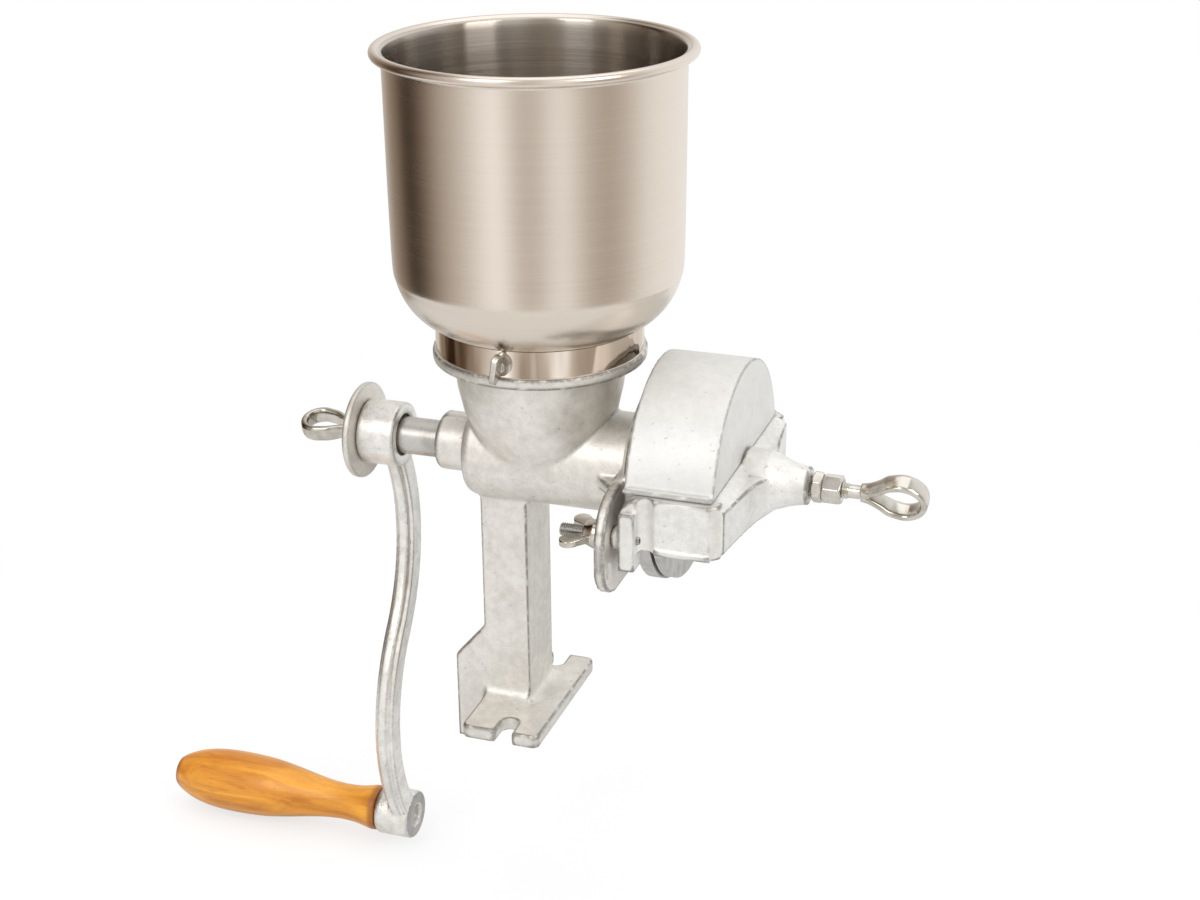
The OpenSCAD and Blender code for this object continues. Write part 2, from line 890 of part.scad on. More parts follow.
module adjusting_screw() {
    color("#c4c2bc")
        at_axis() {
            x_cyl(adjuster_radius, adjuster_tip, thread_end);
            x_cyl(loop_neck, thread_end - 1, loop_x + 4);
            rotate([27, 0, 0])
                translate([loop_x, 0, 0])
                    band_loop(adjuster_loop_length, adjuster_loop_width, loop_neck, adjuster_band_width);
        }
}

module lock_nut(x0, thickness) {
    at_axis()
        difference() {
            translate([x0, 0, 0])
                rotate([0, 90, 0])
                    cylinder(d = nut_flats / cos(30), h = thickness, $fn = 6);
            x_cyl(adjuster_radius + running_clearance, x0 - 1, x0 + thickness + 1);
        }
}

module inner_lock_nut() {
    color("#c4c2bc")
        lock_nut(inner_nut_x, inner_nut_thickness);
}

module outer_lock_nut() {
    color("#c4c2bc")
        lock_nut(outer_nut_x, outer_nut_thickness);
}

module hopper_bowl() {
    top_radius = rim_radius - 2 * bead_radius + 0.9;
    color("#c8c4bc")
        at_axis()
            translate([hopper_x, 0, 0]) {
                rotate_extrude()
                    polygon([
                        [top_radius, rim_z],
                        [top_radius - 0.6, rim_z - 12],
                        [rim_radius * 0.915, bowl_z + 30],
                        [rim_radius * 0.9, bowl_z + 22.5],
                        [rim_radius * 0.87, bowl_z + 16],
                        [rim_radius * 0.825, bowl_z + 10.2],
                        [rim_radius * 0.765, bowl_z + 5.3],
                        [rim_radius * 0.7, bowl_z + 1.9],
                        [collar_radius, bowl_z],
                        [spigot_bore + 1, bowl_z],
                        [spigot_bore + 1, bowl_z + bowl_sheet],
                        [collar_radius - 0.2, bowl_z + bowl_sheet],
                        [rim_radius * 0.7 - 0.5, bowl_z + 1.9 + bowl_sheet],
                        [rim_radius * 0.765 - 0.7, bowl_z + 5.3 + bowl_sheet],
                        [rim_radius * 0.825 - 0.95, bowl_z + 10.2 + bowl_sheet * 0.8],
                        [rim_radius * 0.87 - 1.1, bowl_z + 16 + bowl_sheet * 0.6],
                        [rim_radius * 0.9 - bowl_sheet, bowl_z + 22.5 + bowl_sheet * 0.3],
                        [rim_radius * 0.915 - bowl_sheet, bowl_z + 30],
                        [top_radius - 0.6 - bowl_sheet, rim_z - 12],
                        [top_radius - bowl_sheet, rim_z]
                    ]);
                translate([0, 0, rim_z])
                    rotate_extrude()
                        translate([rim_radius - bead_radius, 0])
                            circle(r = bead_radius, $fn = 32);
            }
}

module hopper_collar() {
    color("#d2cfc8")
        at_axis()
            translate([hopper_x, 0, 0])
                difference() {
                    translate([0, 0, seat_z])
                        cylinder(r = collar_radius, h = collar_height);
                    translate([0, 0, seat_z - 1])
                        cylinder(r = collar_radius - collar_sheet, h = collar_height + 2);
                    translate([0, 0, hopper_screw_z])
                        rotate([90, 0, 0])
                            cylinder(r = hopper_screw_radius + hole_clearance, h = 2 * collar_radius);
                }
}

module hopper_nut() {
    color("#c4c2bc")
        at_axis()
            translate([hopper_x, 0, hopper_screw_z])
                difference() {
                    rotate([90, 0, 0])
                        cylinder(r = hopper_screw_radius * 1.7, h = collar_radius + nut_plate);
                    translate([0, 0, -40])
                        cylinder(r = collar_radius, h = 80);
                    rotate([90, 0, 0])
                        cylinder(r = hopper_screw_radius + running_clearance, h = 2 * collar_radius);
                }
}

module paddle_outline() {
    outer = paddle_depth - paddle_corner;
    polygon([
        [0, -paddle_height * 0.36],
        [0, paddle_height * 0.36],
        [-outer, paddle_height / 2],
        [-outer, -paddle_height / 2]
    ]);
    translate([-paddle_depth, paddle_corner - paddle_height / 2])
        square([paddle_corner + 1, paddle_height - 2 * paddle_corner]);
    for (sz = [-1, 1])
        translate([-outer, sz * (paddle_height / 2 - paddle_corner)])
            circle(r = paddle_corner);
}

module hopper_thumb_screw() {
    head_y = collar_radius + nut_plate + free_gap;
    color("#c4c2bc")
        at_axis()
            translate([hopper_x, 0, hopper_screw_z])
                rotate([0, paddle_lean, 0]) {
                    translate([0, -collar_radius + collar_sheet, 0])
                        rotate([90, 0, 0])
                            cylinder(r = hopper_screw_radius, h = collar_sheet + nut_plate + free_gap + 2);
                    translate([0, -head_y, 0])
                        x_plate(-paddle_thickness / 2, paddle_thickness / 2)
                            paddle_outline();
                }
}

module yoke_stud(side) {
    color("#b4b1aa")
        at_axis()
            translate([0, side * screw_y, screw_z])
                x_cyl(stud_radius, stud_back, stud_front);
}

module yoke_stud_near() {
    yoke_stud(-1);
}

module yoke_stud_far() {
    yoke_stud(1);
}

module wing_washer(side) {
    color("#c4c2bc")
        at_axis()
            translate([0, side * screw_y, screw_z])
                difference() {
                    x_cyl(wing_washer_radius, flange_x - wing_washer_thickness, flange_x);
                    x_cyl(stud_radius + hole_clearance, flange_x - wing_washer_thickness - 1, flange_x + 1);
                }
}

module wing_washer_near() {
    wing_washer(-1);
}

module wing_washer_far() {
    wing_washer(1);
}

module wing_outline() {
    root = wing_collar_radius - 0.4;
    for (s = [-1, 1]) {
        translate([s * (wing_reach - wing_lobe), wing_neck])
            circle(r = wing_lobe);
        polygon([
            [0, -wing_collar * 0.5],
            [s * root, -wing_collar * 0.5],
            [s * (wing_reach - wing_lobe * 0.25), wing_neck - wing_lobe * 0.66],
            [s * (wing_reach - wing_lobe * 1.75), wing_neck + wing_lobe * 0.66],
            [s * root * 0.55, wing_collar * 0.5],
            [0, wing_collar * 0.5]
        ]);
    }
}

module wing_nut(side, turn) {
    color("#c4c2bc")
        at_axis()
            translate([flange_x - wing_washer_thickness, side * screw_y, screw_z])
                rotate([turn, 0, 0])
                    difference() {
                        union() {
                            x_turned([
                                [0, 0],
                                [0, wing_collar_radius],
                                [-wing_collar * 0.45, wing_collar_radius],
                                [-wing_collar, wing_collar_radius - 1.2],
                                [-wing_collar * 1.3, wing_collar_radius - 1.6],
                                [-wing_collar * 1.3, 0]
                            ]);
                            translate([-wing_collar, 0, -wing_plate / 2])
                                rotate([0, 0, 90])
                                    linear_extrude(height = wing_plate)
                                        wing_outline();
                        }
                        x_cyl(stud_radius + running_clearance, -wing_collar * 3, 1);
                    }
}

module wing_nut_near() {
    wing_nut(-1, 4);
}

module wing_nut_far() {
    wing_nut(1, 65);
}

mill_body();
fixed_burr();
burr_screws();
yoke();
burr_cover();
thrust_ball();
drive_shaft();
feed_auger();
turning_burr();
drive_pin();
crank_arm();
handle_pin();
handle_washer();
handle_grip();
crank_washer();
crank_thumb_screw();
adjusting_screw();
inner_lock_nut();
outer_lock_nut();
hopper_bowl();
hopper_collar();
hopper_nut();
hopper_thumb_screw();
yoke_stud_near();
yoke_stud_far();
wing_washer_near();
wing_washer_far();
wing_nut_near();
wing_nut_far();
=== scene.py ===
"""Hand grain mill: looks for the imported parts, in metres, in the frame of the parts."""
import math

import bmesh
import bpy
from mathutils import Matrix, Vector


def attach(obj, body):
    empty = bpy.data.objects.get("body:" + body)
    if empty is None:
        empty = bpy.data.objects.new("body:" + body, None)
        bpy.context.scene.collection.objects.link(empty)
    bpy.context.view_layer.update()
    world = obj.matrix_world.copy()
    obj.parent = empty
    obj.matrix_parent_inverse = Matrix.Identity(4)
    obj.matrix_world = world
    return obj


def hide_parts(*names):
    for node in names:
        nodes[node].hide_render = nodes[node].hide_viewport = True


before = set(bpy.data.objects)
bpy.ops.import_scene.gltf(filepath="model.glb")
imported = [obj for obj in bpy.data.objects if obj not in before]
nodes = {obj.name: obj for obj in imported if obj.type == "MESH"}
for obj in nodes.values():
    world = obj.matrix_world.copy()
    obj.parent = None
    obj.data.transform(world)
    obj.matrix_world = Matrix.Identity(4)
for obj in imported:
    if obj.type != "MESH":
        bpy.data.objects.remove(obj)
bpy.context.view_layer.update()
MM = 0.001

# Sizes of the parts that are drawn again here, in millimetres
AXIS = 141.5
HOPPER_X = 9.5
SEAT = AXIS + 56.5
BOWL = SEAT + 13.0
RIM = SEAT + 141.0
BEAD_CENTRE, BEAD_RADIUS = 72.65, 2.35
HANDLE_Z = AXIS - 223.5
HUB_END, HUB_RING_IN, HUB_RING_OUT = -67.5, 6.7, 12.6
YOKE_BORE_FROM, YOKE_BORE_TO, YOKE_BORE_RADIUS = 102.0, 112.0, 9.6
GRIP_START, GRIP_LENGTH, GRIP_RADIUS, GRIP_BORE = -88.5, 122.5, 16.8, 5.5
GRIP_END = GRIP_START - GRIP_LENGTH
GRIP_RECESS, GRIP_RECESS_DEPTH = 7.6, 8.0
SCREW_RADIUS, SCREW_PITCH, NUT_FLATS = 4.0, 1.25, 13.0
STUD_RADIUS, STUD_PITCH, STUD_Y, STUD_Z = 3.2, 1.0, 58.8, AXIS - 11.0
LOOP_NECK, LOOP_BAND = 3.2, 3.6

# Studio, in metres, watts and degrees
FLOOR_Z, FLOOR_RADIUS = -0.1005, 0.62
LAMP_AIM = (0.0, 0.0, 0.15)
LAMPS = (
    ("key", (-0.35, -1.2, 1.15), 0.6, 0.9, 4.2),
    ("fill", (1.1, -0.5, 0.85), 0.6, 0.9, 4.6),
    ("top", (0.0, 0.2, 1.5), 1.2, 1.2, 3.8),
)
# Brightness that polished metal mirrors, by share of a turn round the mill
PANEL_TURN = 20.8
PANELS = (
    (0.0, 0.9), (0.05, 0.7), (0.10, 0.40), (0.145, 0.24), (0.175, 0.04), (0.205, 0.03), (0.24, 0.18),
    (0.28, 0.47), (0.315, 0.64), (0.345, 0.80), (0.38, 1.06), (0.415, 1.32), (0.44, 0.95), (0.47, 0.64),
    (0.50, 0.72), (0.53, 1.0), (0.555, 1.12), (0.585, 0.85), (0.61, 0.62), (0.65, 0.50), (0.68, 0.60),
    (0.715, 0.79), (0.75, 1.0), (0.80, 1.1), (0.87, 1.12), (0.93, 1.05), (1.0, 0.9),
)
CAMERA_PLACE = (0.33210, -0.84759, 0.52044)
CAMERA_YAW, CAMERA_PITCH, CAMERA_ROLL = 19.056, 22.644, -0.4095
CAMERA_FOCUS, PICTURE_WIDTH = 2009.41, 1200.0
SENSOR_WIDTH = 36.0


class Value:
    """A shader socket. Arithmetic on it adds Math nodes to its tree."""

    def __init__(self, tree, socket=None):
        self.tree, self.socket = tree, socket

    def add(self, kind, out=0, settings=None, **sockets):
        """Adds any other node: its type, the output that is wanted, its settings and its sockets."""
        node = self.tree.nodes.new(kind)
        settings = dict(settings or {})
        stops = settings.pop("stops", ())
        for key, value in settings.items():
            setattr(node, key, value)
        for number, (place, colour) in enumerate(stops):
            parts = node.color_ramp.elements
            part = parts[number] if number < len(parts) else parts.new(place)
            part.position, part.color = place, colour
        for key, value in sockets.items():
            numbered = key[0] == "i" and key[1:].isdigit()
            slot = node.inputs[int(key[1:]) if numbered else key.replace("_", " ")]
            if isinstance(value, Value):
                self.tree.links.new(value.socket, slot)
            else:
                slot.default_value = value
        return Value(self.tree, node.outputs[out])

    def maths(self, operation, first, second=0.0):
        return self.add("ShaderNodeMath", 0, {"operation": operation}, i0=first, i1=second)

    def __add__(self, other):
        return self.maths("ADD", self, other)

    def __radd__(self, other):
        return self.maths("ADD", other, self)

    def __sub__(self, other):
        return self.maths("SUBTRACT", self, other)

    def __rsub__(self, other):
        return self.maths("SUBTRACT", other, self)

    def __mul__(self, other):
        return self.maths("MULTIPLY", self, other)

    def __rmul__(self, other):
        return self.maths("MULTIPLY", other, self)

    def __truediv__(self, other):
        return self.maths("DIVIDE", self, other)

    def __rtruediv__(self, other):
        return self.maths("DIVIDE", other, self)

    def between(self, low, high, to_low=0.0, to_high=1.0):
        """Eases from to_low to to_high as this value goes from low to high."""
        settings = {"clamp": True, "interpolation_type": "SMOOTHSTEP"}
        return self.add("ShaderNodeMapRange", 0, settings, i0=self, i1=low, i2=high, i3=to_low, i4=to_high)

    def mix(self, first, second):
        """Goes from one colour to another by this value."""
        settings = {"data_type": "RGBA", "clamp_factor": True}
        return self.add("ShaderNodeMix", 2, settings, i0=self, i6=first, i7=second)

    def stretched(self, x, y, z):
        return self.add("ShaderNodeVectorMath", 0, {"operation": "MULTIPLY"}, i0=self, i1=(x, y, z))

    def along(self, x, y, z):
        return self.add("ShaderNodeVectorMath", 1, {"operation": "DOT_PRODUCT"}, i0=self, i1=(x, y, z))

    def length(self):
        return self.add("ShaderNodeVectorMath", 1, {"operation": "LENGTH"}, i0=self)

    def noise(self, scale, detail=2.0, rough=0.5, warp=0.0):
        return self.add("ShaderNodeTexNoise", 0, None, Vector=self, Scale=scale, Detail=detail,
                        Roughness=rough, Distortion=warp)

    def part(self, axis):
        return self.add("ShaderNodeSeparateXYZ", axis, None, i0=self)


def rgb(r, g, b):
    return (r, g, b, 1.0)


def grey(level):
    return rgb(level, level, level)


RUBBED_EDGE = rgb(0.21, 0.197, 0.175)
# Painted shade for the inside corners and creases of castings
CREASE_PAINTED_SHADE = rgb(0.20, 0.185, 0.16)
# Warm tone of the polished collar, spread into dark and bright painted reflection bands
BAND_DARK_PAINTED_REFLECTION, BAND_BRIGHT_PAINTED_REFLECTION = rgb(0.50, 0.41, 0.33), rgb(0.83, 0.745, 0.655)
WOOD_LOW, WOOD_HIGH = rgb(0.54, 0.175, 0.012), rgb(0.92, 0.41, 0.046)
WOOD_PORE, WOOD_END = rgb(0.38, 0.115, 0.012), rgb(0.26, 0.075, 0.010)


def new_material(name, **fixed):
    """Makes a material and returns it with its shader node and the place in the part as a value."""
    material = bpy.data.materials.new(name)
    material.use_nodes = True
    tree = material.node_tree
    shader = tree.nodes["Principled BSDF"]
    for key, value in fixed.items():
        shader.inputs[key.replace("_", " ")].default_value = value
    return material, shader, Value(tree).add("ShaderNodeTexCoord", "Object")


def feed(node, value, name):
    """Links a value to a socket of a node that is there already."""
    value.tree.links.new(value.socket, node.inputs[name])


def bump(shader, height, distance, strength):
    normal = height.add("ShaderNodeBump", 0, None, Strength=strength, Distance=distance, Height=height)
    feed(shader, normal, "Normal")


def casting(name, low, high, rough=0.38, metal=0.7, grain=0.00022, wear=0.85, dull=0.75):
    """Silver finished sand casting: sand grain, shallow waves, small pits, rubbed edges, and painted shade
    darkening inside corners and creases by the share dull.
    """
    material, shader, at = new_material(name, Metallic=metal)
    wave = at.noise(45.0, 2.0, 0.5)
    patch = at.noise(210.0, 4.0, 0.6)
    sand = at.noise(1500.0, 3.0, 0.65)
    pits = at.noise(480.0, 2.0, 0.5).between(0.66, 0.78)
    shape = at.add("ShaderNodeNewGeometry", "Pointiness")
    rubbed = shape.between(0.506, 0.532) * patch.between(0.28, 0.54)
    # Inside corners and creases, where painted shade darkens the casting
    crease_shade = 1.0 - shape.between(0.455, 0.495)
    tone = (wave * 0.3 + patch * 0.4 + sand * 0.3).between(0.36, 0.64)
    colour = tone.mix(low, high)
    colour = (pits * 0.5).mix(colour, rgb(low[0] * 0.5, low[1] * 0.49, low[2] * 0.46))
    colour = (rubbed * wear).mix(colour, RUBBED_EDGE)
    # Painted shade laid into the inside corners and creases
    colour = (crease_shade * dull).mix(colour, CREASE_PAINTED_SHADE)
    feed(shader, colour, "Base Color")
    feed(shader, patch * 0.2 + sand * 0.2 + (rough - 0.2), "Roughness")
    bump(shader, sand * 0.5 + patch * 0.8 + wave * 3.0 - pits * 0.6, grain, 0.8)
    return material


def bare_iron(name, low, high):
    """Iron as it leaves the mould, a little blotched."""
    material, shader, at = new_material(name, Metallic=0.9)
    patch = at.noise(120.0, 4.0, 0.6)
    fine = at.noise(1500.0, 2.0, 0.5)
    feed(shader, patch.between(0.35, 0.65).mix(low, high), "Base Color")
    feed(shader, fine * 0.2 + patch * 0.2 + 0.28, "Roughness")
    bump(shader, fine + patch, 0.0001, 0.6)
    return material


def turned_steel(name, low, high, rough=0.26):
    """Steel turned on a lathe about the X axis, with fine tool rings."""
    material, shader, at = new_material(name, Metallic=1.0)
    rings = at.stretched(2600.0, 20.0, 20.0).noise(1.0, 2.0, 0.5)
    smear = at.noise(70.0, 3.0, 0.5)
    feed(shader, smear.between(0.35, 0.65).mix(low, high), "Base Color")
    feed(shader, rings * 0.2 + smear * 0.1 + (rough - 0.12), "Roughness")
    bump(shader, rings, 0.00004, 0.7)
    return material


def bright_plate(name, low, high, rough):
    """Bright nickel plate with slight ripples and dull spots."""
    material, shader, at = new_material(name, Metallic=1.0)
    ripple = at.noise(220.0, 2.0, 0.5)
    dull = at.noise(90.0, 4.0, 0.6)
    feed(shader, dull.between(0.38, 0.62).mix(low, high), "Base Color")
    feed(shader, dull * 0.16 + ripple * 0.08 + (rough - 0.12), "Roughness")
    bump(shader, ripple, 0.00025, 0.5)
    return material


def brushed_bowl(name, low, high, rough, **fixed):
    """Stainless sheet with a satin finish brushed round it, and faint spinning marks."""
    material, shader, at = new_material(name, Metallic=1.0, **fixed)
    lines = at.stretched(7.0, 7.0, 2400.0).noise(1.0, 3.0, 0.6)
    bands = at.stretched(4.0, 4.0, 150.0).noise(1.0, 2.0, 0.5)
    cloud = at.noise(20.0, 2.0, 0.5)
    tone = (lines * 0.75 + bands * 0.25).between(0.15, 0.85)
    feed(shader, tone.mix(low, high), "Base Color")
    feed(shader, lines * 0.06 + bands * 0.03 + cloud * 0.05 + (rough - 0.07), "Roughness")
    bump(shader, lines, 0.000012, 0.4)
    return material


def polished_band(name):
    """Thin rolled strip, polished so that it mirrors what stands round it, a little wavy; its warm colour runs in
    light and dark upright bands, painted reflections.
    """
    material, shader, at = new_material(name, Metallic=1.0)
    wave = at.stretched(1.0, 1.0, 0.15).noise(46.0, 2.0, 0.5)
    fine = at.stretched(12.0, 12.0, 2200.0).noise(1.0, 2.0, 0.5)
    # Upright light and dark bands of colour: painted reflections on the strip's own warm tone
    feed(shader, wave.between(0.35, 0.65).mix(BAND_DARK_PAINTED_REFLECTION, BAND_BRIGHT_PAINTED_REFLECTION), "Base Color")
    feed(shader, fine * 0.06 + wave * 0.05 + 0.04, "Roughness")
    bump(shader, wave, 0.007, 0.4)
    return material


def lacquered_wood(name):
    """Orange brown hardwood turned along X, with long grain, pores, dark ends and a clear coat."""
    material, shader, at = new_material(name, Coat_Weight=0.3, Coat_Roughness=0.12, Specular_IOR_Level=0.3)
    grain = at.stretched(14.0, 150.0, 150.0).noise(1.0, 4.0, 0.6, 0.7)
    rings = at.maths("SINE", at.stretched(4.0, 34.0, 34.0).noise(1.0, 2.0, 0.5, 0.4) * 34.0)
    pores = at.stretched(90.0, 1500.0, 1500.0).noise(1.0, 2.0, 0.5).between(0.60, 0.72)
    tone = grain.between(0.3, 0.7) * 0.65 + rings.between(-1.0, 1.0) * 0.35
    inner, outer = GRIP_START * MM, GRIP_END * MM
    x = at.part(0)
    ends = x.between(inner - 0.005, inner - 0.0015) + x.between(outer + 0.004, outer + 0.0005)
    colour = (pores * 0.35).mix(tone.mix(WOOD_LOW, WOOD_HIGH), WOOD_PORE)
    feed(shader, (ends * 0.75).mix(colour, WOOD_END), "Base Color")
    feed(shader, grain * 0.18 + 0.26, "Roughness")
    bump(shader, grain * 0.5 - pores, 0.00008, 0.5)
    return material


# Castings; dull is the share of painted shade in their creases
CAST = casting("cast_body", rgb(0.65, 0.622, 0.572), rgb(0.83, 0.807, 0.757), dull=0.4)
CAST_YOKE = casting("cast_yoke", rgb(0.71, 0.695, 0.66), rgb(0.87, 0.86, 0.83), 0.40, 0.6, 0.0004)
CAST_COVER = casting("cast_cover", rgb(0.69, 0.685, 0.665), rgb(0.78, 0.775, 0.755), 0.48, 0.4, 0.00016, 0.6)
CAST_WASHER = casting("cast_washer", rgb(0.64, 0.615, 0.56), rgb(0.80, 0.775, 0.72), 0.40, 0.78, wear=0.3)
CAST_ARM = casting("cast_arm", rgb(0.65, 0.635, 0.595), rgb(0.90, 0.88, 0.84), 0.32, 0.9, wear=0.4)
IRON = bare_iron("burr_iron", rgb(0.46, 0.45, 0.43), rgb(0.60, 0.59, 0.57))
AUGER = bare_iron("auger_iron", rgb(0.30, 0.29, 0.27), rgb(0.46, 0.45, 0.43))
SHAFT = turned_steel("shaft_turned", rgb(0.42, 0.405, 0.375), rgb(0.58, 0.565, 0.535))
HUB_FACE = turned_steel("hub_face_turned", rgb(0.34, 0.335, 0.325), rgb(0.47, 0.465, 0.455), 0.38)
PLAIN = turned_steel("plain_steel", rgb(0.42, 0.41, 0.39), rgb(0.56, 0.55, 0.53))
WASHER = bright_plate("washer_plate", rgb(0.56, 0.55, 0.52), rgb(0.68, 0.67, 0.645), 0.36)
NICKEL = bright_plate("bright_nickel", rgb(0.46, 0.432, 0.38), rgb(0.63, 0.60, 0.545), 0.14)
BALL = bright_plate("ball_polish", grey(0.74), grey(0.84), 0.12)
BOWL_STEEL = brushed_bowl("bowl_brushed", rgb(0.675, 0.60, 0.525), rgb(0.715, 0.645, 0.57), 0.26)
# Brushing round the wall spreads the light up and down it. The inside is a darker copy of the outside's steel,
# painted shade.
BOWL_INSIDE_SHADED = brushed_bowl("bowl_inside_shaded_brushed", rgb(0.46, 0.41, 0.36), rgb(0.60, 0.545, 0.485), 0.22,
                           Anisotropic=1.0, Anisotropic_Rotation=0.25)
BAND = polished_band("collar_polish_painted_reflections")
WOOD = lacquered_wood("grip_wood")


def new_piece(name, mesh, body, material, replaced):
    """Links a mesh as a piece that moves with a body and stands for a part."""
    mesh.materials.clear()
    mesh.materials.append(material)
    for face in mesh.polygons:
        face.use_smooth = True
    piece = bpy.data.objects.new(name, mesh)
    bpy.context.scene.collection.objects.link(piece)
    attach(piece, body)
    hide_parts(replaced)


def rounded_copy(node, voxel, passes, keep):
    """A copy of a part's mesh with its edges and inside corners rounded, as a casting has them."""
    mesh = nodes[node].data.copy()
    work = bmesh.new()
    work.from_mesh(mesh)
    bmesh.ops.remove_doubles(work, verts=work.verts, dist=1e-6)
    work.to_mesh(mesh)
    work.free()
    holder = bpy.data.objects.new("work", mesh)
    bpy.context.scene.collection.objects.link(holder)
    remesh = holder.modifiers.new("remesh", "REMESH")
    remesh.mode = "VOXEL"
    remesh.voxel_size = voxel * MM
    remesh.adaptivity = 0.0
    smooth = holder.modifiers.new("smooth", "SMOOTH")
    smooth.factor = 0.5
    smooth.iterations = passes
    thin = holder.modifiers.new("thin", "DECIMATE")
    thin.ratio = keep
    graph = bpy.context.evaluated_depsgraph_get()
    made = bpy.data.meshes.new_from_object(holder.evaluated_get(graph))
    bpy.data.objects.remove(holder)
    return made


def grid_mesh(name, rows, close_rows=False):
    """A mesh from rows of points, each row a closed ring. The rows close too, or the ends are capped."""
    mesh = bpy.data.meshes.new(name)
    count = len(rows[0])
    points = [p for row in rows for p in row]
    faces = []
    last = len(rows) if close_rows else len(rows) - 1
    for i in range(last):
        j = (i + 1) % len(rows)
        for k in range(count):
            n = (k + 1) % count
            faces.append((i * count + k, i * count + n, j * count + n, j * count + k))
    if not close_rows:
        faces.append(tuple(range(count - 1, -1, -1)))
        faces.append(tuple(range(len(points) - count, len(points))))
    mesh.from_pydata([Vector(p) * MM for p in points], [], faces)
    work = bmesh.new()
    work.from_mesh(mesh)
    bmesh.ops.recalc_face_normals(work, faces=work.faces)
    work.to_mesh(mesh)
    work.free()
    return mesh


def smooth_line(points, steps):
    """A smooth line through the points, with a number of steps from each point to the next."""
    out = []
    for i in range(len(points) - 1):
        a = points[max(i - 1, 0)]
        b, c = points[i], points[i + 1]
        d = points[min(i + 2, len(points) - 1)]
        for k in range(steps):
            t = k / steps
            out.append(tuple(
                0.5 * (2 * q + (r - p) * t + (2 * p - 5 * q + 4 * r - s) * t * t
                       + (3 * q - p - 3 * r + s) * t ** 3)
                for p, q, r, s in zip(a, b, c, d)))
    out.append(tuple(points[-1]))
    return out


def circle(count):
    """Cosine and sine of evenly spaced angles."""
    return [(math.cos(2 * math.pi * k / count), math.sin(2 * math.pi * k / count)) for k in range(count)]


def turned_up(name, profile, count):
    """Turns a closed loop of (radius, height) about the hopper's upright axis."""
    rows = [[(HOPPER_X + radius * c, radius * s, height) for c, s in circle(count)] for radius, height in profile]
    return grid_mesh(name, rows, close_rows=True)


def turned_along(name, profile, z, count, close_rows=False):
    """Turns a line of (x, radius) about a level line along X."""
    rows = [[(x, radius * c, z + radius * s) for c, s in circle(count)] for x, radius in profile]
    return grid_mesh(name, rows, close_rows)


def joined(name, meshes):
    """One mesh from several closed ones."""
    work = bmesh.new()
    for mesh in meshes:
        work.from_mesh(mesh)
    made = bpy.data.meshes.new(name)
    work.to_mesh(made)
    work.free()
    return made


def threaded(name, x0, x1, radius, pitch, y, z):
    """A screw thread along X: crests run round in one helix and fade out at both ends."""
    depth, fade, count, steps_to_turn = 0.55, 0.8, 36, 10
    rows = []
    steps = int((x1 - x0) / pitch * steps_to_turn)
    for i in range(steps + 1):
        x = x0 + (x1 - x0) * i / steps
        near_end = min(x - x0, x1 - x)
        row = []
        for k in range(count):
            turn = k / count
            phase = ((x - x0) / pitch - turn) % 1.0
            ridge = min(1.0, max(0.0, abs(phase - 0.5) * 2.6 - 0.15))
            r = radius - depth * ridge
            if near_end < fade:
                r = min(r, radius - depth * (1.0 - near_end / fade))
            row.append((x, y + r * math.cos(2 * math.pi * turn), z + r * math.sin(2 * math.pi * turn)))
        rows.append(row)
    return grid_mesh(name, rows)


def band_loop(name, x0, length, width, band_width, roll, side):
    """A forged finger loop: a rounded band that leaves the neck, opens out and closes in a round end."""
    bend = width / 2 - LOOP_BAND / 2
    middle = length - width / 2
    half = [
        (-0.5, 0.55 * LOOP_NECK),
        (length * 0.12, 0.72 * LOOP_NECK + 0.4),
        (length * 0.27, bend * 0.52),
        (middle * 0.66, bend * 0.83),
        (middle - bend * 0.1, bend * 0.995),
    ]
    for k in range(1, 8):
        a = math.radians(90 - k * 11.25)
        half.append((middle + bend * math.cos(a), bend * math.sin(a)))
    half.append((middle + bend, 0.0))
    upper = smooth_line(half, 5)
    path = upper + [(p[0], -p[1]) for p in reversed(upper[:-1])]
    cos_r, sin_r = math.cos(math.radians(roll)), math.sin(math.radians(roll))
    # Squareness of the section, share of the width at the neck, points from there to the full width
    square, narrowed, flare = 0.62, 0.72, 14.0
    rows = []
    for i, (u, v) in enumerate(path):
        before = path[max(i - 1, 0)]
        after = path[min(i + 1, len(path) - 1)]
        along = Vector((after[0] - before[0], after[1] - before[1])).normalized()
        out = Vector((-along.y, along.x))
        edge = min(i, len(path) - 1 - i) / flare
        wide = band_width / 2 * (narrowed + (1.0 - narrowed) * min(1.0, edge))
        row = []
        for c, s in circle(20):
            flat = abs(c) ** square * math.copysign(LOOP_BAND / 2, c)
            deep = abs(s) ** square * math.copysign(wide, s)
            pu, pv = u + out.x * flat, v + out.y * flat
            row.append((x0 + side * pu, deep * cos_r - pv * sin_r, AXIS + deep * sin_r + pv * cos_r))
        rows.append(row)
    return grid_mesh(name, rows)


